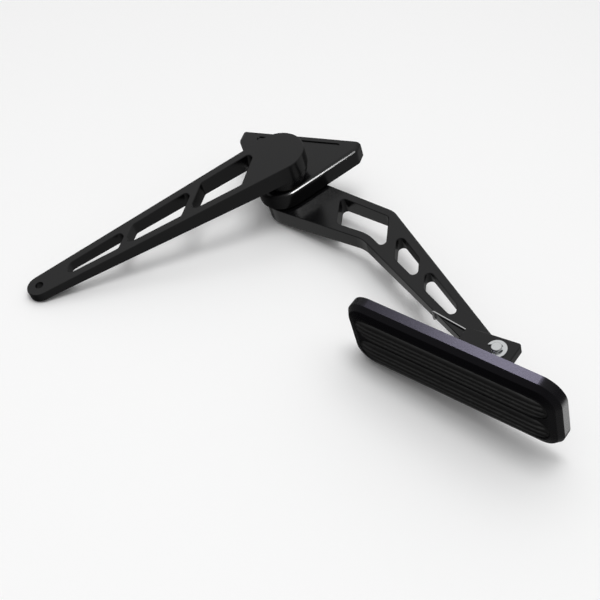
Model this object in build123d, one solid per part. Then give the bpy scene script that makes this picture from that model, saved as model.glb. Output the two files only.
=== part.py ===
from build123d import *
import os
from math import acos, asin, atan2, cos, degrees, hypot, radians, sin, tan

os.makedirs("parts", exist_ok=True)

# Accelerator pedal lying on its side, millimetres and degrees.
# The origin lies on the bracket's firewall face, opposite the main pivot. +Y points into the
# firewall, +X runs along the face towards the pad, and +Z runs along the main pivot.

# Main pivot and bracket
PIVOT_OFFSET = 36.0        # firewall face to pivot axis
BRACKET_T = 12.0           # plate thickness, centred on Z = 0
BRACKET_L = 81.5           # overall length of the firewall edge
BRACKET_SHIFT = -3.3      # middle of the firewall edge from the pivot
BRACKET_APEX_R = 16.2      # rounding near the pivot
BRACKET_END_H = 6.0        # square ends, firewall face to the corner rounding
BRACKET_CORNER_R = 3.5
BRACKET_ROUND = 3.0        # rounded-over edge of the upper face
GROOVE_W = 4.0             # shallow groove along the firewall edge
GROOVE_L = 57.0
GROOVE_DEPTH = 0.8
GROOVE_INSET = 4.8         # groove centre to the firewall face
BOLT_SPACING = 50.8        # tapped holes in the firewall face
BOLT_R = 3.0
BOLT_DEPTH = 18.0
SHAFT_R = 6.0
KEY_HALF = 4.5             # half distance across the shaft's flats
BUSH_WALL = 1.5
FLANGE_T = 1.2
FLANGE_R = 11.5

# Cable arm
CABLE_ANGLE = 229.15       # direction from the pivot to the cable eye
CABLE_REACH = 162.0        # pivot to cable eye
CABLE_HUB_R = 16.5
CABLE_TIP_R = 7.7
CABLE_HUB_T = 11.5
CABLE_TIP_T = 5.5
CABLE_EYE_R = 2.5
CABLE_RAIL = 5.3           # metal left outside the openings
CABLE_WINDOWS = ((20.3, 57.5), (62.9, 102.9), (106.7, 143.8))
WINDOW_R = 2.8

# Pedal arm
PEDAL_ANGLE = -32.03       # direction from the pivot to the hinge pin
PEDAL_REACH = 185.7        # pivot to hinge pin
PEDAL_HUB_R = 16.0
PEDAL_HUB_T = 12.0
PEDAL_END_T = 6.2
PEDAL_BEND_BACK = (62.7, 20.3)   # rounding centres of the bend, along and across the reach line
PEDAL_BEND_FRONT = (64.2, 11.4)
PEDAL_BEND_BACK_R = 12.0
PEDAL_BEND_FRONT_R = 6.0
PEDAL_NECK_BACK = 22.5     # neck from the hinge pin, along the reach line
PEDAL_NECK_RISE = 2.4
PEDAL_NECK_R = 7.5
PEDAL_EYE_R = 5.0
PEDAL_INNER_R = 20.0       # rounding on the inside of the bend
PEDAL_WINDOWS = ((46.0, 91.0, 5.1), (99.4, 119.8, 5.7), (125.4, 152.6, 5.1))  # ends and rail
EDGE_BREAK = 0.4           # small chamfer on the billet edges

# Stack on the pivot, from the bracket outwards
SPACER_H = 10.15
SPACER_R = 12.5
SPACER_RIM_R = 15.4
SPACER_RIM_H = 4.2
KEY_DEPTH_CABLE = 6.0
KEY_DEPTH_PEDAL = 4.5
SCREW_R = 3.0
SCREW_L = 25.0
SCREW_HEAD_R = 5.0
SCREW_HEAD_H = 4.0
SCREW_SOCKET = 4.0         # hexagon across flats
WASHER_R = 6.0
WASHER_T = 1.6

# Pad
PAD_ANGLE = -17.13         # direction of the pad's long edge
PAD_L = 130.0
PAD_W = 50.0
PAD_EDGE_T = 5.4           # square edge next to the back face
PAD_CORNER_R = 13.0
PAD_SHOULDERS = ((3.0, 2.3), (1.5, 4.4))  # height and inward run of each facet
PAD_TOP_Z = 28.0
PIN_ALONG = 11.4           # hinge pin from the pad's middle, along the pad
PIN_STANDOFF = 19.4        # hinge pin from the pad's back
INSERT_L = 118.0
INSERT_W = 16.0
INSERT_PITCH = 18.1
INSERT_POCKET = 2.5
RIB_H = 1.4
RIB_W = 1.9
RIB_GAP = 1.35
FOOT_T = 1.6               # rubber sheet below the ribs

# Pad hinge
EAR_T = 5.6
EAR_SPAN = (-22.0, 10.1)   # ear ends along the pad, from the pin
EAR_RISE = (5.6, 9.3)      # ear edge beyond the pin at those two ends
LUG_FACE = 8.3             # pin axis to the front of the lug's base
LUG_EDGE = 7.0             # lug screws to the base's lower edge
LUG_FILLET = 3.2           # between base and ear
EAR_CORNER_R = 2.0
PIN_R = 3.0
PIN_PROUD = 3.0
CLIP_R = 5.65
CLIP_T = 0.7
CLIP_GROOVE_R = 2.5
LUG_SCREW_R = 2.5
LUG_SCREW_L = 16.0
LUG_SCREW_PITCH = 18.0
WIRE_D = 1.0
COIL_R = 4.6
COIL_TURNS = 2
HOOK_BACK = 48.8           # hinge pin to where the spring crosses the arm's front edge
PRESS_BACK = 14.0          # hinge pin to the end of the spring's short leg, along the pad
HOOK_L = 4.0               # end of the wire, turned in under the arm
BEND_REACH = 1.5

# Clearances
END_PLAY = 0.15            # axial play on the pivot
RUN_FIT = 0.03             # radial, shaft in bush and pin in eye
SEAT = 0.02                # radial, parts pressed or pushed together
THREAD_GAP = 0.1           # radial, screw shank in its hole
KEY_GAP = 0.05
RUBBER_GAP = 0.15
WIRE_GAP = 0.1
CLIP_PLAY = 0.3            # lower clip below the arm
HEEL_GAP = 0.1             # heel of the arm to the lug's base

# Heights that follow from the stack
bracket_top = BRACKET_T / 2
spacer_z = bracket_top + FLANGE_T + END_PLAY
cable_z = spacer_z + SPACER_H
cable_top = cable_z + CABLE_HUB_T
pedal_top = -bracket_top - FLANGE_T - END_PLAY
pedal_low = pedal_top - PEDAL_HUB_T
ear_low = pedal_top + WIRE_D + 3 * WIRE_GAP
ear_top = ear_low + EAR_T
eye_low = pedal_top - PEDAL_END_T
coil_pitch = WIRE_D + 0.05
leg_z = ear_low - WIRE_GAP - WIRE_D / 2


def on_pivot(shape, angle=0):
    return Pos(0, -PIVOT_OFFSET, 0) * Rot(0, 0, angle) * shape


def disc(r, z0, z1, x=0, y=0):
    return Pos(x, y, (z0 + z1) / 2) * Cylinder(r, z1 - z0)


def hull(*circles):
    edges = []
    for x, y, r in circles:
        edges += (Pos(x, y) * Circle(r)).edges()
    return Sketch() + make_face(make_hull(edges))


def slab(sketch, z0, z1):
    return extrude(Pos(0, 0, z0) * sketch, z1 - z0)


def double_d(r, half):
    return Sketch() + (Circle(r) & Rectangle(2 * r, 2 * half))


def break_edges(solid, *heights):
    edges = [e for e in solid.edges() if any(abs(e.center().Z - h) < 1e-4 and
             e.bounding_box().size.Z < 1e-4 for h in heights)]
    return chamfer(edges, EDGE_BREAK)


def wedge(start, end, z_start, z_end, half, floor):
    """Block below an arm whose upper side rises from z_start to z_end."""
    side = Polyline((start, floor), (start, z_start), (end, z_end), (end + 60, z_end),
                    (end + 60, floor), close=True)
    return extrude(Plane.XZ * make_face(side), half, both=True)


def window(outline, first, last, slope):
    """Truss opening: the inset outline between two slanted posts, every corner rounded."""
    reach = 60
    strip = Polyline((first - slope * reach, -reach), (last - slope * reach, -reach),
                     (last + slope * reach, reach), (first + slope * reach, reach), close=True)
    hole = Sketch() + (outline & make_face(strip))
    core = offset(hole, -WINDOW_R, kind=Kind.INTERSECTION)
    return offset(core, WINDOW_R, kind=Kind.ARC)


# Bracket: square at both ends and along the firewall, tapering to the pivot, rounded over
# on the cable side
end_x = BRACKET_L / 2 - BRACKET_CORNER_R
ends = [(BRACKET_SHIFT + side * end_x, y, BRACKET_CORNER_R)
        for side in (-1, 1) for y in (-BRACKET_END_H, 2 * BRACKET_CORNER_R)]
plate_face = hull((BRACKET_SHIFT, -PIVOT_OFFSET, BRACKET_APEX_R), *ends)
plate_face -= Pos(BRACKET_SHIFT, 2 * BRACKET_CORNER_R) * Rectangle(2 * BRACKET_L, 4 * BRACKET_CORNER_R)
bracket = slab(plate_face, -bracket_top, bracket_top)
upper = bracket.faces().sort_by(Axis.Z)[-1].outer_wire().edges()
bracket = fillet([e for e in upper if e.center().Y < -1e-3], BRACKET_ROUND)
bracket = chamfer(bracket.faces().sort_by(Axis.Z)[0].outer_wire().edges(), EDGE_BREAK)
bush_r = SHAFT_R + BUSH_WALL
bracket -= disc(bush_r + SEAT, -BRACKET_T, BRACKET_T, 0, -PIVOT_OFFSET)
groove = Pos(BRACKET_SHIFT, -GROOVE_INSET) * SlotOverall(GROOVE_L, GROOVE_W)
bracket -= slab(groove, bracket_top - GROOVE_DEPTH, bracket_top + 1)
for x in (-BOLT_SPACING / 2, BOLT_SPACING / 2):
    bracket -= Pos(BRACKET_SHIFT + x, -BOLT_DEPTH / 2, 0) * Rot(90, 0, 0) * Cylinder(BOLT_R, BOLT_DEPTH)

# Bushes: pressed in from either side, flanges outward
bush_l = bracket_top - 0.3
bush = disc(bush_r, -bush_l, 0) + disc(FLANGE_R, 0, FLANGE_T)
bush -= disc(SHAFT_R + RUN_FIT, -2 * bush_l, 2 * FLANGE_T)
bush_upper = on_pivot(Pos(0, 0, bracket_top) * bush)
bush_lower = on_pivot(Pos(0, 0, -bracket_top) * Rot(180, 0, 0) * bush)

# Shaft: round in the bushes, flats at both ends, tapped from below
key = double_d(SHAFT_R, KEY_HALF)
shaft_low = pedal_top - KEY_DEPTH_PEDAL + 0.2
shaft_high = cable_z + KEY_DEPTH_CABLE - 0.2
shaft = disc(SHAFT_R, pedal_top, cable_z)
shaft += slab(key, shaft_low, pedal_top) + slab(key, cable_z, shaft_high)
washer_z = pedal_low + SCREW_HEAD_H + WASHER_T + 0.2
screw_seat = washer_z - WASHER_T
shaft -= disc(SCREW_R + THREAD_GAP, shaft_low - 1, screw_seat + SCREW_L + 2)
pivot_shaft = on_pivot(shaft, CABLE_ANGLE)

# Spacer: turned collar with a wide rim under the cable arm
spacer = disc(SPACER_R, spacer_z, cable_z) + disc(SPACER_RIM_R, cable_z - SPACER_RIM_H, cable_z)
spacer -= disc(SHAFT_R + THREAD_GAP, spacer_z - 1, cable_z + 1)
cable_spacer = on_pivot(spacer)

# Cable arm: level on top, thinning from below towards the eye
keyway = double_d(SHAFT_R + KEY_GAP, KEY_HALF + KEY_GAP)
outline = hull((0, 0, CABLE_HUB_R), (CABLE_REACH, 0, CABLE_TIP_R))
inset = hull((0, 0, CABLE_HUB_R - CABLE_RAIL), (CABLE_REACH, 0, CABLE_TIP_R - CABLE_RAIL))
arm = slab(outline, cable_z, cable_top)
arm -= wedge(CABLE_HUB_R, CABLE_REACH - CABLE_TIP_R, cable_z, cable_top - CABLE_TIP_T, 40, cable_z - 9)
for first, last in CABLE_WINDOWS:
    arm -= slab(window(inset, first, last, 1), cable_z - 1, cable_top + 1)
arm = break_edges(arm, cable_top)
arm -= slab(keyway, cable_z - 1, cable_z + KEY_DEPTH_CABLE)
arm -= disc(CABLE_EYE_R, cable_z - 1, cable_top + 1, CABLE_REACH, 0)
cable_arm = on_pivot(arm, CABLE_ANGLE)


neck = (PEDAL_REACH - PEDAL_NECK_BACK, PEDAL_NECK_RISE)


def pedal_outline(inset_by):
    """The bent arm's outline, drawn in by the same amount everywhere."""
    front_r = PEDAL_BEND_FRONT_R - inset_by
    bend = [(*PEDAL_BEND_BACK, PEDAL_BEND_BACK_R - inset_by), (*PEDAL_BEND_FRONT, front_r)]
    shape = hull((0, 0, PEDAL_HUB_R - inset_by), *bend) + hull((*neck, PEDAL_NECK_R - inset_by), *bend)
    inside = shape.vertices().sort_by_distance((PEDAL_BEND_FRONT[0], PEDAL_BEND_FRONT[1] - front_r))[0]
    return fillet(inside, PEDAL_INNER_R + inset_by)


# Pedal arm: level on top, thinning from below, with a stepped eye for the spring coil and
# a heel that stops against the pad's lug
pad_turn = PAD_ANGLE - PEDAL_ANGLE
heel_x = PEDAL_EYE_R - 1
heel = Pos(PEDAL_REACH, 0) * Rot(0, 0, pad_turn) * Pos(heel_x / 2, (HEEL_GAP - LUG_FACE) / 2) * Rectangle(
    heel_x, LUG_FACE - HEEL_GAP)
heel_top = ear_low - LUG_FILLET - HEEL_GAP
arm_face = pedal_outline(0) + hull((*neck, PEDAL_NECK_R), (PEDAL_REACH, 0, PEDAL_EYE_R))
arm = slab(arm_face, pedal_low, pedal_top) + slab(heel, pedal_low, heel_top)
taper_end = neck[0] - 10
arm -= wedge(PEDAL_HUB_R, taper_end, pedal_low, eye_low, 60, pedal_low - 9)
for first, last, rail in PEDAL_WINDOWS:
    arm -= slab(window(pedal_outline(rail), first, last, -1), pedal_low - 1, pedal_top + 1)
arm = break_edges(arm, pedal_top)
coil_seat = leg_z - coil_pitch * (COIL_TURNS + 0.5) - WIRE_D
arm -= disc(COIL_R + 3 * WIRE_D, coil_seat, pedal_top + 1, PEDAL_REACH, 0)
arm -= disc(PIN_R + RUN_FIT, pedal_low - 1, pedal_top + 1, PEDAL_REACH, 0)
arm -= slab(Rot(0, 0, CABLE_ANGLE - PEDAL_ANGLE) * keyway, pedal_top - KEY_DEPTH_PEDAL, pedal_top + 1)
arm -= disc(SCREW_R + 2 * THREAD_GAP, pedal_low - 1, pedal_top)
arm -= disc(WASHER_R + 0.5, pedal_low - 1, washer_z)
pedal_arm = on_pivot(arm, PEDAL_ANGLE)

# Pivot screw and washer, recessed in the pedal arm's underside
screw = disc(SCREW_R, screw_seat, screw_seat + SCREW_L)
screw += disc(SCREW_HEAD_R, screw_seat - SCREW_HEAD_H, screw_seat)
socket = RegularPolygon(SCREW_SOCKET / 2, 6, major_radius=False)
screw -= slab(socket, screw_seat - SCREW_HEAD_H - 1, screw_seat - SCREW_HEAD_H / 2)
pivot_screw = on_pivot(screw)
washer = disc(WASHER_R, screw_seat, washer_z)
washer -= disc(SCREW_R + 2 * THREAD_GAP, screw_seat - 1, washer_z + 1)
pivot_washer = on_pivot(washer)

# Pad frame: origin at the hinge pin, +X along the pad, +Y away from the pad's face
pin_x = PEDAL_REACH * cos(radians(PEDAL_ANGLE))
pin_y = PEDAL_REACH * sin(radians(PEDAL_ANGLE)) - PIVOT_OFFSET


def on_pin(shape):
    return Pos(pin_x, pin_y, 0) * Rot(0, 0, PAD_ANGLE) * shape


def on_pad(shape):
    """From a drawing on the pad's back, X along it and Y up it, looking at its face."""
    return on_pin(Pos(-PIN_ALONG, -PIN_STANDOFF, PAD_TOP_Z - PAD_W / 2) * Rot(90, 0, 0) * shape)


# Pad plate: square edge, two shoulder facets and two oval pockets in the face
plate = slab(RectangleRounded(PAD_L, PAD_W, PAD_CORNER_R), 0, PAD_EDGE_T)
level = PAD_EDGE_T
run = 0
for rise, inward in PAD_SHOULDERS:
    ring = RectangleRounded(PAD_L - 2 * run, PAD_W - 2 * run, PAD_CORNER_R - run)
    plate += extrude(Pos(0, 0, level) * ring, rise, taper=degrees(atan2(inward, rise)))
    level += rise
    run += inward
pad_t = level
oval = SlotOverall(INSERT_L, INSERT_W)
pocket_z = pad_t - INSERT_POCKET
screw_x = PIN_ALONG + sum(EAR_SPAN) / 2
screw_y = -INSERT_PITCH / 2
lug_low = PAD_TOP_Z - PAD_W / 2 + screw_y - LUG_EDGE
for side in (-0.5, 0.5):
    plate -= slab(Pos(0, side * INSERT_PITCH) * oval, pocket_z, pad_t + 1)

# Lug screws: countersunk below the lower insert
flat_screw = Pos(0, 0, pocket_z - LUG_SCREW_L / 2) * Cylinder(LUG_SCREW_R, LUG_SCREW_L)
sink = LUG_SCREW_R
flat_screw += Pos(0, 0, pocket_z - sink / 2) * Cone(LUG_SCREW_R, 2 * LUG_SCREW_R, sink)
flat_screw -= slab(RegularPolygon(1.5, 6, major_radius=False), pocket_z - 1.6, pocket_z + 1)
flat_hole = Pos(0, 0, pocket_z - LUG_SCREW_L / 2) * Cylinder(LUG_SCREW_R + THREAD_GAP,
                                                              LUG_SCREW_L + 2)
flat_hole += Pos(0, 0, pocket_z - sink / 2) * Cone(LUG_SCREW_R + THREAD_GAP,
                                                 2 * LUG_SCREW_R + THREAD_GAP, sink)
spots = [Pos(screw_x + s * LUG_SCREW_PITCH / 2, screw_y, 0) for s in (-1, 1)]
for spot in spots:
    plate -= spot * flat_hole
pad_plate = on_pad(plate)
lug_screws = Compound([on_pad(spot * flat_screw) for spot in spots])

# Rubber inserts: a sheet in the pocket with nested oval ribs standing on it
sheet_l = INSERT_L - 2 * RUBBER_GAP
sheet_w = INSERT_W - 2 * RUBBER_GAP
insert = slab(SlotOverall(sheet_l, sheet_w), pocket_z, pocket_z + FOOT_T)
step = RIB_W + RIB_GAP
drawn_in = 0
while sheet_w - 2 * drawn_in > RIB_W:
    ring = SlotOverall(sheet_l - 2 * drawn_in, sheet_w - 2 * drawn_in)
    core_w = sheet_w - 2 * (drawn_in + RIB_W)
    if core_w > RIB_GAP:
        ring -= SlotOverall(sheet_l - 2 * (drawn_in + RIB_W), core_w)
    insert += slab(ring, pocket_z + FOOT_T, pad_t + RIB_H)
    drawn_in += step
pad_insert_upper = on_pad(Pos(0, INSERT_PITCH / 2) * insert)
pad_insert_lower = on_pad(Pos(0, -INSERT_PITCH / 2) * insert)

# Lug: a base screwed to the pad's back, with one ear above the arm
ear = Polyline((EAR_SPAN[0], -PIN_STANDOFF), (EAR_SPAN[1], -PIN_STANDOFF), (EAR_SPAN[1], EAR_RISE[1]),
               (EAR_SPAN[0], EAR_RISE[0]), close=True)
ear_face = Sketch() + make_face(ear)
ear_face = fillet(ear_face.vertices().sort_by(Axis.Y)[-2:], EAR_CORNER_R)
lug = slab(ear_face, lug_low, ear_top)
lug = break_edges(lug, lug_low, ear_top)
open_h = ear_low - lug_low + EDGE_BREAK
open_w = 2 * (EAR_SPAN[1] - EAR_SPAN[0])
open_d = 2 * PIN_STANDOFF
lug -= Pos(0, open_d / 2 - LUG_FACE, ear_low - open_h / 2) * Box(open_w, open_d, open_h)
root = lug.edges().filter_by(Axis.X).sort_by_distance((sum(EAR_SPAN) / 2, -LUG_FACE, ear_low))[0]
lug = fillet(root, LUG_FILLET)
lug -= disc(PIN_R + SEAT, ear_low - 1, ear_top + 1)
pad_lug = on_pin(lug)
for spot in spots:
    pad_lug -= on_pad(spot * flat_hole)

# Hinge pin: grooved at both ends, with an E-clip in each groove
pin_top = ear_top + PIN_PROUD
pin_low = eye_low - PIN_PROUD
pin = disc(PIN_R, pin_low, pin_top)
pin = fillet(pin.edges(), PIN_R * 0.25)
groove_gap = CLIP_T + 0.1
lower_clip = eye_low - CLIP_PLAY
for z in (ear_top, lower_clip - groove_gap):
    pin -= disc(PIN_R + 1, z, z + groove_gap) - disc(CLIP_GROOVE_R, z, z + groove_gap)
hinge_pin = on_pin(pin)

clip = Circle(CLIP_R) - Circle(PIN_R + 0.6)
for turn in (0, 90, 180):
    clip += Rot(0, 0, turn) * Pos((CLIP_GROOVE_R + PIN_R + 1) / 2 + SEAT, 0) * Rectangle(
        PIN_R + 1 - CLIP_GROOVE_R, 2.2)
clip -= Pos(0, -CLIP_R) * Rectangle(2 * PIN_R, 2 * CLIP_R)
clip -= Circle(CLIP_GROOVE_R + SEAT)
clip_at = Rot(0, 0, -60)
clip_upper = on_pin(clip_at * slab(clip, ear_top + 0.05, ear_top + 0.05 + CLIP_T))
clip_lower = on_pin(clip_at * slab(clip, lower_clip - 0.05 - CLIP_T, lower_clip - 0.05))

# Torsion spring: coil in the arm's stepped eye, one leg hooked over the arm's front edge
rise_x = neck[0] - PEDAL_BEND_FRONT[0]
rise_y = neck[1] - PEDAL_BEND_FRONT[1]
front_turn = atan2(rise_y, rise_x) - asin((PEDAL_NECK_R - PEDAL_BEND_FRONT_R) / hypot(rise_x, rise_y))
touch_x = neck[0] + PEDAL_NECK_R * sin(front_turn)
touch_y = neck[1] - PEDAL_NECK_R * cos(front_turn)
front_y = touch_y + tan(front_turn) * (PEDAL_REACH - HOOK_BACK - touch_x)
hook = Vector(-HOOK_BACK, front_y - WIRE_D / 2 - 3 * WIRE_GAP)
hook_far = hypot(hook.X, hook.Y)
hook_dir = degrees(atan2(hook.Y, hook.X))
leave = hook_dir - degrees(atan2((hook_far ** 2 - COIL_R ** 2) ** 0.5, COIL_R))
press = Vector(-PRESS_BACK, -LUG_FACE + WIRE_D / 2 + WIRE_GAP)
press_far = hypot(press.X, press.Y)
enter = degrees(atan2(press.Y, press.X)) + degrees(atan2((press_far ** 2 - COIL_R ** 2) ** 0.5, COIL_R))
enter += pad_turn
sweep_deg = (leave - enter) % 360 + 360 * COIL_TURNS
coil_h = coil_pitch * sweep_deg / 360
coil_low = leg_z - coil_h


def on_coil(angle, z):
    return Vector(COIL_R * cos(radians(angle)), COIL_R * sin(radians(angle)), z)


def bent(before, corner, after):
    """Arc that turns the wire at a corner, leaving both runs at BEND_REACH from it."""
    u = (before - corner).normalized()
    v = (after - corner).normalized()
    half = acos(u.dot(v)) / 2
    depth = BEND_REACH * (1 / cos(half) - tan(half))
    return Edge.make_three_point_arc(corner + u * BEND_REACH, corner + (u + v).normalized() * depth,
                                     corner + v * BEND_REACH)


press_turn = radians(pad_turn)
press_at = Vector(press.X * cos(press_turn) - press.Y * sin(press_turn),
                  press.X * sin(press_turn) + press.Y * cos(press_turn), coil_low)
taper = (PEDAL_REACH - HOOK_BACK - PEDAL_HUB_R) / (taper_end - PEDAL_HUB_R)
under = pedal_low + taper * (PEDAL_HUB_T - PEDAL_END_T) - WIRE_D / 2 - 3 * WIRE_GAP
steps = round(sweep_deg / 20)
coil = [on_coil(enter + sweep_deg * i / steps, coil_low + coil_h * i / steps) for i in range(steps + 1)]
over = Vector(hook.X, hook.Y, leg_z)
below = Vector(hook.X, hook.Y, under)
tip = Vector(hook.X, hook.Y + HOOK_L, under)
pull = hypot(COIL_R * radians(sweep_deg), coil_h)
turns = Edge.make_spline(coil, parameters=[i / steps for i in range(steps + 1)], scale=False, tangents=[
    (coil[0] - press_at).normalized() * pull, (over - coil[-1]).normalized() * pull])
bend_over = bent(coil[-1], over, below)
bend_under = bent(over, below, tip)
wire_line = Wire([Edge.make_line(press_at, coil[0]), turns, Edge.make_line(coil[-1], bend_over @ 0), bend_over,
                  Edge.make_line(bend_over @ 1, bend_under @ 0), bend_under,
                  Edge.make_line(bend_under @ 1, tip)])
spring = sweep(Plane(origin=wire_line @ 0, z_dir=wire_line % 0) * Circle(WIRE_D / 2), path=wire_line)
pad_spring = on_pivot(Pos(PEDAL_REACH, 0, 0) * spring, PEDAL_ANGLE)

nodes = {
    "bracket": bracket,
    "bush_upper": bush_upper,
    "bush_lower": bush_lower,
    "pivot_shaft": pivot_shaft,
    "cable_spacer": cable_spacer,
    "cable_arm": cable_arm,
    "pedal_arm": pedal_arm,
    "pivot_screw": pivot_screw,
    "pivot_washer": pivot_washer,
    "pad_plate": pad_plate,
    "pad_insert_upper": pad_insert_upper,
    "pad_insert_lower": pad_insert_lower,
    "pad_lug": pad_lug,
    "lug_screws": lug_screws,
    "hinge_pin": hinge_pin,
    "clip_upper": clip_upper,
    "clip_lower": clip_lower,
    "pad_spring": pad_spring,
}
for name, shape in nodes.items():
    export_step(shape, f"parts/{name}.step")
    size = shape.bounding_box()
    print(name, len(shape.solids()), round(shape.volume, 1), size.min, size.max)
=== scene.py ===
# %% [markdown]
# # An accelerator pedal, finished in Blender
# The real thing is a throttle pedal machined from aluminium bar and dyed black. A triangular bracket
# bolts to the firewall. One lever pulls the throttle cable, the other carries a hinged pad with two
# ribbed rubber inserts. The shapes come from the CAD frame. This lesson adds the finishes, the cut threads,
# the moulded rubber, a spring cut in two, the floor, the light and the camera.

# %% Load the frame
import math
import bmesh
import bpy
from mathutils import Euler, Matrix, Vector


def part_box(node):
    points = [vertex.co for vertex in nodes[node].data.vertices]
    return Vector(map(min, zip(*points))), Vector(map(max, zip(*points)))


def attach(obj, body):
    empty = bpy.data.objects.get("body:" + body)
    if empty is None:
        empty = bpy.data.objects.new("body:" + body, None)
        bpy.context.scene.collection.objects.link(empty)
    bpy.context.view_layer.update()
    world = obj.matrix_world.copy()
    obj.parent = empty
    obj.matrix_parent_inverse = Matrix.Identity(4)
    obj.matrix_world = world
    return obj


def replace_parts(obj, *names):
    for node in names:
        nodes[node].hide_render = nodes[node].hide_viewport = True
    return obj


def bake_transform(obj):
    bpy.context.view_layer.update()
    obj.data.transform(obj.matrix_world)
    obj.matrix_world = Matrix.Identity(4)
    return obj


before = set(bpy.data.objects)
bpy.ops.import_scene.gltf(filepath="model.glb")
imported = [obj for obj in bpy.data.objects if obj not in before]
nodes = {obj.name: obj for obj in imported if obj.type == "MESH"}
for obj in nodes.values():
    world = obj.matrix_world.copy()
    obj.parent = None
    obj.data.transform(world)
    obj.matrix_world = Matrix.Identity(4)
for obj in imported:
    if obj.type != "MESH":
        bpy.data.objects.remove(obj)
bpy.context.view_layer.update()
MM = 0.001
print("CAD nodes:", len(nodes))

# %% [markdown]
# ## Helpers for finishes
# Colours are picked as screen colours, so one function turns a hex code into the linear numbers that
# shaders work with. A second function adds a shader node, sets its inputs and links it, which keeps each
# material short enough to read as a recipe.

# %% Colour and node helpers
def srgb(code):
    """A hex screen colour as linear RGBA."""
    parts = [int(code[i:i + 2], 16) / 255 for i in (1, 3, 5)]
    return [c / 12.92 if c <= 0.04045 else ((c + 0.055) / 1.055) ** 2.4 for c in parts] + [1.0]


def add(tree, kind, settings=None, **inputs):
    """Adds a shader node; inputs are values, or output sockets to link from."""
    node = tree.nodes.new(kind)
    for key, value in (settings or {}).items():
        setattr(node, key, value)
    for key, value in inputs.items():
        socket = node.inputs[key.replace("_", " ")]
        if isinstance(value, bpy.types.NodeSocket):
            tree.links.new(value, socket)
        else:
            socket.default_value = value
    return node


def material(name, **shader):
    """A material with an empty recipe: its tree, its coordinates and its shader."""
    mat = bpy.data.materials.new(name)
    mat.use_nodes = True
    tree = mat.node_tree
    bsdf = tree.nodes["Principled BSDF"]
    for key, value in shader.items():
        bsdf.inputs[key.replace("_", " ")].default_value = value
    coords = add(tree, "ShaderNodeTexCoord").outputs["Object"]
    return mat, tree, bsdf, coords


def grain(tree, coords, size_mm, detail=2.0):
    """Noise whose features are about size_mm across."""
    noise = add(tree, "ShaderNodeTexNoise", Vector=coords, Scale=1 / (size_mm * MM), Detail=detail)
    return noise.outputs["Fac"]


def spread(tree, value, low, high):
    """Maps noise, which sits around a half, onto a range."""
    return add(tree, "ShaderNodeMapRange", Value=value, From_Min=0.3, From_Max=0.7,
               To_Min=low, To_Max=high).outputs["Result"]


def bumpy(tree, bsdf, height, depth_mm, strength=1.0):
    """Lets a height pattern, so many millimetres deep, catch the light."""
    bump = add(tree, "ShaderNodeBump", Height=height, Distance=depth_mm * MM, Strength=strength)
    tree.links.new(bump.outputs["Normal"], bsdf.inputs["Normal"])


# %% [markdown]
# ## Black anodised aluminium
# Anodising grows a clear, glassy oxide on the metal and the pores are dyed black. Light either bounces off
# the oxide's surface or is lost in the dye, so this is a plain dielectric with a very dark base, not a
# metal. A fine grain left by tumbling makes the reflection satin.

# %% Anodised finishes
SATIN = 0.04


def anodised(name, colour, rough, ior):
    """A dyed oxide whose roughness wavers by SATIN either way."""
    mat, tree, bsdf, coords = material(name, Base_Color=srgb(colour), IOR=ior)
    fine = grain(tree, coords, 0.35)
    tree.links.new(spread(tree, fine, rough - SATIN, rough + SATIN), bsdf.inputs["Roughness"])
    bumpy(tree, bsdf, fine, 0.004, 0.6)
    return mat


billet = anodised("black anodised aluminium", "#0b0b0c", 0.22, 1.47)
pad_billet = anodised("black anodised aluminium, pad", "#0a090d", 0.26, 1.3)
turned = anodised("black anodised aluminium, turned", "#0b0b0c", 0.26, 1.45)
print("anodised finishes:", [mat.name for mat in (billet, pad_billet, turned)])

# %% [markdown]
# ## Rubber, bronze and steel
# The inserts are moulded nitrile rubber: dull, dark and slightly dusty. The bushes are oily sintered
# bronze, speckled by its pores. The pin, clips and washer are bright zinc plate, the spring is bright drawn
# wire, the shaft is ground steel and the screws are black oxide. The steels differ only in colour, in how
# rough they are and in the size of their grain, so one function makes them all.

# %% Other finishes
rubber, tree, bsdf, coords = material("nitrile rubber", Base_Color=srgb("#131313"), IOR=1.4)
dust = grain(tree, coords, 2.5, 4.0)
tree.links.new(spread(tree, dust, 0.52, 0.68), bsdf.inputs["Roughness"])
bumpy(tree, bsdf, grain(tree, coords, 0.25), 0.02, 0.4)

bronze, tree, bsdf, coords = material("sintered bronze", Base_Color=srgb("#3a2f22"), Metallic=1.0)
pores = grain(tree, coords, 0.4, 3.0)
tree.links.new(spread(tree, pores, 0.28, 0.5), bsdf.inputs["Roughness"])
bumpy(tree, bsdf, pores, 0.01, 0.5)


def plated(name, colour, low, high, size_mm):
    """A metal whose roughness wavers between low and high."""
    mat, tree, bsdf, coords = material(name, Base_Color=srgb(colour), Metallic=1.0)
    fine = grain(tree, coords, size_mm)
    tree.links.new(spread(tree, fine, low, high), bsdf.inputs["Roughness"])
    bumpy(tree, bsdf, fine, 0.003, 0.5)
    return mat


zinc = plated("bright zinc plate", "#eef0f1", 0.16, 0.26, 0.5)
ground = plated("ground steel", "#b9bbbd", 0.18, 0.28, 0.2)
oxide = plated("black oxide steel", "#2a2a2b", 0.35, 0.45, 0.3)
drawn = plated("drawn spring steel", "#ececec", 0.2, 0.3, 0.3)
print("other finishes:", [mat.name for mat in (rubber, bronze, zinc, ground, oxide, drawn)])

# %% [markdown]
# ## Painting the CAD nodes
# Every CAD node arrives with one material slot. Swapping the material in the slot changes the finish and
# leaves the shape alone, so the part stays true to its drawing.

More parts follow.
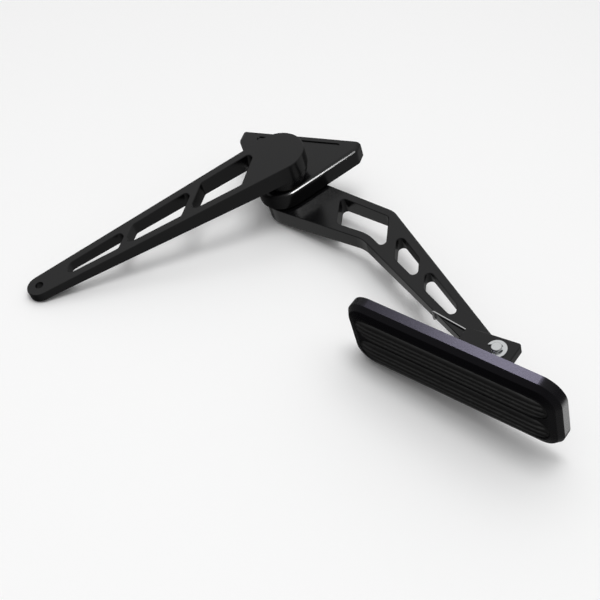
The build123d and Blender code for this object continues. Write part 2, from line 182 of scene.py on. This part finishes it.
# %% Assign finishes
finishes = {
    billet: ("bracket", "cable_arm", "pedal_arm", "pad_lug"),
    pad_billet: ("pad_plate",),
    turned: ("cable_spacer",),
    bronze: ("bush_upper", "bush_lower"),
    ground: ("pivot_shaft",),
    oxide: ("pivot_screw", "lug_screws"),
    zinc: ("pivot_washer", "hinge_pin", "clip_upper", "clip_lower"),
}
for mat, names in finishes.items():
    for name in names:
        for index in range(len(nodes[name].material_slots)):
            nodes[name].material_slots[index].material = mat
print("painted:", sum(len(names) for names in finishes.values()))

# %% [markdown]
# ## Helpers for pieces
# Turning a mesh into a piece is the same each time: smooth faces that break at sharp edges, a finish and
# the material slot it belongs to. The second helper is a soft step from 0 to 1, used wherever a shape fades
# in or out.

# %% Piece helpers
SHARP_EDGE = math.radians(50)


def settle(name, mesh, finish):
    """Makes a finished object of a mesh."""
    bmesh.ops.recalc_face_normals(mesh, faces=mesh.faces)
    for face in mesh.faces:
        face.smooth = True
    data = bpy.data.meshes.new(name)
    mesh.to_mesh(data)
    mesh.free()
    data.set_sharp_from_angle(angle=SHARP_EDGE)
    data.materials.append(finish)
    obj = bpy.data.objects.new(name, data)
    bpy.context.collection.objects.link(obj)
    return obj


def ease(low, high, value):
    """A soft step: 0 up to low, 1 from high on."""
    t = min(max((value - low) / (high - low), 0), 1)
    return t * t * (3 - 2 * t)


# %% [markdown]
# ## Cut threads
# Both holes in the firewall face are tapped for 6 mm screws. The CAD bores are plain, at the thread's outer
# size. A tap leaves one ridge that winds inwards a millimetre a turn, so a small profile is carried round
# and along each bore, and it rises and fades over a turn at both ends. Its root is sunk a little into the
# wall, and both ends are capped, so the ridge is a closed body.

# %% Cut threads
BORE = 3.0 * MM
ROOT = 3.05 * MM
CREST = 2.5 * MM
THREAD = 1.0 * MM
THREAD_FOOT = 0.45
THREAD_FLAT = 0.08
TURNS = 15
PER_TURN = 24
BOLT_MIDDLE = -3.3 * MM
BOLT_SPACING = 50.8 * MM


def thread(name, x):
    """The ridge of a tapped hole, from a turn below the firewall face inwards."""
    mesh = bmesh.new()
    last = None
    for i in range(TURNS * PER_TURN + 1):
        turn = i / PER_TURN
        crest = BORE - (BORE - CREST) * ease(0, 1, turn) * ease(0, 1, TURNS - turn)
        spin = Vector((math.cos(2 * math.pi * turn), 0, math.sin(2 * math.pi * turn)))
        profile = (ROOT, -THREAD_FOOT), (crest, -THREAD_FLAT), (crest, THREAD_FLAT), (ROOT, THREAD_FOOT)
        ring = [mesh.verts.new(Vector((x, -(turn + shift + 1) * THREAD, 0)) + spin * r)
                for r, shift in profile]
        for k in range(len(profile) if last else 0):
            mesh.faces.new((last[k - 1], last[k], ring[k], ring[k - 1]))
        last = ring
    bmesh.ops.holes_fill(mesh, edges=[e for e in mesh.edges if e.is_boundary], sides=0)
    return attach(settle(name, mesh, billet), "mounting")


threads = [thread("thread_" + side, BOLT_MIDDLE + half * BOLT_SPACING)
           for side, half in (("near", -0.5), ("far", 0.5))]
print("thread faces:", [len(obj.data.polygons) for obj in threads])

# %% [markdown]
# ## Rubber inserts
# The inserts are moulded: four long ribs with soft crests, a rounded border, and ends that fall away like a
# loaf's. The CAD solids hold their place with plain oval ribs. Here each one gives its length, width, floor
# and rib height, and a grid is laid over that oval. Every point of the grid is then let down from the rib
# tops, by the border's curve and by the groove it lies in. Nothing changes along the straight ribs, so the
# grid is fine only across them and near the ends.

# %% Rubber inserts
PAD_TURN = math.radians(-17.13)
ALONG = Vector((math.cos(PAD_TURN), math.sin(PAD_TURN), 0))
OUT = Vector((math.sin(PAD_TURN), -math.cos(PAD_TURN), 0))
ACROSS = Vector((0, 0, 1))
RIBS = 4
RIB_PITCH = 4.0 * MM
GROOVE = 2.0 * MM
GROOVE_WALL = (0.05, 0.8)
GROOVE_FADE = 3 * MM
BORDER = 1.9 * MM
SIDE_FALL = 2.6 * MM
END_FALL = 11 * MM
ROWS = 96
END_SHARE = 0.24
END_STEPS = 30


def let_down(t, to_side, to_end):
    """How far the rubber lies below the rib tops, t across the insert and so far from its edges."""
    side = max(0, 1 - to_side / SIDE_FALL)
    end = max(0, 1 - to_end / END_FALL)
    border = BORDER * (1 - math.sqrt(max(0, 1 - side ** 2 - end ** 2)))
    near = 2 * abs(t / RIB_PITCH - round(t / RIB_PITCH))
    if abs(t) > RIB_PITCH * (RIBS - 1) / 2:
        near = 1
    return border + GROOVE * (1 - ease(*GROOVE_WALL, near)) * ease(0, GROOVE_FADE, to_end)


def insert(name, node):
    """A ribbed rubber insert in the room of its CAD solid."""
    reach = [[v.co.dot(axis) for v in nodes[node].data.vertices] for axis in (ALONG, ACROSS, OUT)]
    (s0, s1), (t0, t1), (floor_at, top) = [(min(r), max(r)) for r in reach]
    half_l, half_w = (s1 - s0) / 2, (t1 - t0) / 2
    centre = ALONG * (s0 + s1) / 2 + ACROSS * (t0 + t1) / 2
    mesh = bmesh.new()
    fine = [1 - END_SHARE + END_SHARE * i / END_STEPS for i in range(END_STEPS + 1)]
    spots = [-u for u in reversed(fine)] + [0.0] + fine
    grid = []
    for j in range(ROWS + 1):
        t = half_w * (2 * j / ROWS - 1)
        half_s = half_l - half_w + math.sqrt(max(0, half_w ** 2 - t ** 2))
        row = []
        for u in spots:
            height = top - let_down(t, half_w - abs(t), half_s * (1 - abs(u)))
            row.append(mesh.verts.new(centre + ALONG * u * half_s + ACROSS * t + OUT * height))
        grid.append(row)
    for low, high in zip(grid, grid[1:]):
        for i in range(len(spots) - 1):
            mesh.faces.new((low[i], low[i + 1], high[i + 1], high[i]))
    rim = bmesh.ops.extrude_edge_only(mesh, edges=[e for e in mesh.edges if e.is_boundary])["geom"]
    for part in rim:
        if isinstance(part, bmesh.types.BMVert):
            part.co += OUT * (floor_at - part.co.dot(OUT))
    bmesh.ops.holes_fill(mesh, edges=[e for e in mesh.edges if e.is_boundary], sides=0)
    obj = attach(settle(name, mesh, rubber), "pad")
    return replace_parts(obj, node)


inserts = [insert("rubber_" + side, "pad_insert_" + side) for side in ("upper", "lower")]
print("rubber faces:", [len(obj.data.polygons) for obj in inserts])

# %% [markdown]
# ## Hinge spring
# The pad's torsion spring is one bent wire: a long leg hooked over the lever, a coil round the hinge pin,
# and a short leg that presses on the pad's lug. When the pad tips, the lug takes the short leg along and the
# coil winds up. The CAD node is rigid, so its mesh is copied and parted where the long leg leaves the coil.
# Both cut ends are capped. The long leg rides on the lever.

# %% Hinge spring
COIL_OUT = 6 * MM
SHORT_LEG = 20 * MM
WELD = 0.001 * MM
pin = sum((Vector(corner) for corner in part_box("hinge_pin")), Vector()) / 2
wire = nodes["pad_spring"].data
heights = [v.co.z for v in wire.vertices if (v.co - pin).xy.length < COIL_OUT]
coil_top, coil_low = max(heights), min(heights)


def on_long_leg(face):
    """True for a face outside the coil that lies in its upper half or past the short leg's end."""
    spot = face.calc_center_median()
    away = (spot - pin).xy.length
    return away > SHORT_LEG or (away > COIL_OUT and spot.z > (coil_top + coil_low) / 2)


def wire_part(name, is_leg):
    """The spring's long leg, or its coil and short leg, cut out of the CAD node's mesh."""
    mesh = bmesh.new()
    mesh.from_mesh(wire)
    bmesh.ops.remove_doubles(mesh, verts=mesh.verts, dist=WELD)
    bmesh.ops.delete(mesh, geom=[f for f in mesh.faces if on_long_leg(f) != is_leg], context="FACES")
    bmesh.ops.holes_fill(mesh, edges=[e for e in mesh.edges if e.is_boundary], sides=0)
    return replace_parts(settle(name, mesh, drawn), "pad_spring")


spring_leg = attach(wire_part("spring_leg", True), "lever")
spring_coil = wire_part("spring_coil", False)
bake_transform(spring_coil)
print("spring faces:", len(spring_leg.data.polygons), len(spring_coil.data.polygons))
print("coil height, mm:", round((coil_top - coil_low) / MM, 2))

# %% [markdown]
# ## Floor
# The pedal was photographed lying on its side, propped on the cable lever's tip, the pivot's underside and
# the pad's edge. Those three contacts give the slope of the floor in the part's own frame. The height is the
# lowest reach of any CAD vertex along the floor's normal, so nothing sinks in. A white floor would shine up
# into the black faces, which the photograph shows dark, so the floor is kept out of the part's reflections.

# %% Floor
FLOOR_UP = (0.2, 0.208, 1.0)
FLOOR_SIZE = 12

up = Vector(FLOOR_UP).normalized()
low = min((obj.matrix_world @ v.co).dot(up) for obj in nodes.values() for v in obj.data.vertices)
tilt = Vector((0, 0, 1)).rotation_difference(up)
bpy.ops.mesh.primitive_plane_add(size=FLOOR_SIZE, location=up * low)
floor = bpy.context.object
floor.name = "floor"
floor.rotation_euler = tilt.to_euler()
paper, tree, bsdf, coords = material("white paper sweep", Base_Color=srgb("#fbfbfb"), Roughness=0.9)
bumpy(tree, bsdf, grain(tree, coords, 1.0), 0.01, 0.2)
floor.data.materials.append(paper)
floor.visible_glossy = False
floor.visible_diffuse = False
floor.visible_shadow = False
print("floor height along its normal, mm:", round(low / MM, 2))

# %% [markdown]
# ## Light
# Black anodising shows mostly what it mirrors, so floor light and mirrored light are set apart. A softbox
# above the floor throws the short shadows, and a wide panel fills them. Both are hidden from glossy rays,
# so they can't turn the black parts grey. Most other panels are there to be mirrored only, and light linking
# keeps each to one piece. A strip right of the camera draws the white line along the bracket's rounded
# edge. A pair behind the object glares violet on the pad's upper edge, and two weak ones stand in for the
# floor in the pad's end and the pedal lever's side. One small lamp lights the rubber alone and brings out
# its ribs.

# %% Lights
def panel(name, at, target, size, power, colour="#ffffff", only=(), mirrored=False):
    """A soft panel; only= names what it lights, and mirrored=True makes it a reflection alone."""
    data = bpy.data.lights.new(name, "AREA")
    data.shape = "RECTANGLE"
    data.size, data.size_y = size
    data.energy = power
    data.color = srgb(colour)[:3]
    lamp = bpy.data.objects.new(name, data)
    bpy.context.collection.objects.link(lamp)
    lamp.location = at
    lamp.rotation_euler = (Vector(target) - Vector(at)).to_track_quat("-Z", "Y").to_euler()
    lamp.visible_glossy = bool(only)
    lamp.visible_diffuse = not mirrored
    if only:
        lamp.light_linking.receiver_collection = bpy.data.collections.new(name + " receivers")
        for obj in only:
            lamp.light_linking.receiver_collection.objects.link(obj)


middle = Vector((0.05, -0.09, 0.0))
panel("key", at=middle + 1.4 * Vector((0.237, 0.049, 0.97)), target=middle, size=(0.5, 0.5), power=5.5)
panel("fill", at=middle + 1.7 * up, target=middle, size=(2.4, 2.4), power=12.6)

edge = [nodes["bracket"]]
panel("bracket strip", at=(0.74, -0.39, 0.5), target=(0.02, -0.05, 0.0), size=(0.28, 0.42), power=20,
      only=edge, mirrored=True)

pad = [nodes["pad_plate"]]
panel("pad glow", at=(-0.1, 0.42, 0.82), target=(0.14, -0.15, 0.03), size=(0.9, 0.5), power=0.4,
      colour="#d9d2ff", only=pad, mirrored=True)
panel("pad glare", at=(-0.01, 0.39, 0.84), target=(0.175, -0.155, 0.03), size=(0.22, 0.22), power=3.8,
      colour="#e6e0ff", only=pad, mirrored=True)

pad_middle = Vector((0.14, -0.155, 0.003))
panel("rib light", at=pad_middle + 0.9 * Vector((-0.15, -0.25, 0.955)), target=pad_middle, size=(0.3, 0.3),
      power=3, only=inserts)
panel("end glow", at=(0.38, -0.09, -0.22), target=(0.195, -0.17, 0.0), size=(0.16, 0.16), power=0.13,
      only=pad, mirrored=True)
panel("floor glow", at=(-0.165, -0.2, -0.3), target=(0.08, -0.09, -0.01), size=(0.4, 0.4), power=0.15,
      only=[nodes["pedal_arm"]], mirrored=True)
print("lights:", [lamp.name for lamp in bpy.data.lights])

# %% [markdown]
# ## Room
# What no panel covers mirrors the room. It is a plain grey that is brighter behind and above, and a little
# brighter to the right, which sets the grey of the levers' flat faces. Each of the two parts is a soft ramp
# over how far a direction turns towards an axis, and the room is their sum.

# %% Room
world = bpy.data.worlds.new("studio")
world.use_nodes = True
tree = world.node_tree
view = add(tree, "ShaderNodeTexCoord").outputs["Generated"]


def toward(axis, low, high, dim, bright):
    """Light that grows from dim to bright as a direction turns towards an axis."""
    facing = add(tree, "ShaderNodeVectorMath", {"operation": "DOT_PRODUCT"})
    tree.links.new(view, facing.inputs[0])
    facing.inputs[1].default_value = axis
    ramp = add(tree, "ShaderNodeMapRange", Value=facing.outputs["Value"], From_Min=low, From_Max=high,
               To_Min=dim, To_Max=bright)
    return ramp.outputs["Result"]


glow = add(tree, "ShaderNodeMath", {"operation": "ADD"})
behind = toward((-0.39, 0.6, 0.7), low=-0.1, high=1.0, dim=0.0, bright=0.55)
right = toward((1, 0, 0), low=-0.5, high=0.5, dim=0.05, bright=0.25)
tree.links.new(behind, glow.inputs[0])
tree.links.new(right, glow.inputs[1])
tree.links.new(glow.outputs["Value"], tree.nodes["Background"].inputs["Strength"])
tree.nodes["Background"].inputs["Color"].default_value = srgb("#ffffff")
bpy.context.scene.world = world
bpy.context.scene.view_settings.view_transform = "Standard"
print("room shader nodes:", len(tree.nodes))

# %% [markdown]
# ## Camera
# The photograph was solved for its camera: the cable lever's round hub, round tip and straight edges are
# known shapes, so where they fall in the picture gives the viewpoint, the direction and the lens.

# %% Camera
SENSOR = 36
LENS = 69.85
CAMERA_AT = (0.29124, -0.47568, 0.50382)
CAMERA_TURN = (39.022, 12.883, 20.034)

data = bpy.data.cameras.new("camera")
data.sensor_width = SENSOR
data.lens = LENS
data.clip_start = 0.01
camera = bpy.data.objects.new("camera", data)
bpy.context.collection.objects.link(camera)
camera.location = CAMERA_AT
camera.rotation_euler = Euler([math.radians(a) for a in CAMERA_TURN])
bpy.context.scene.camera = camera
print("lens, mm:", LENS)
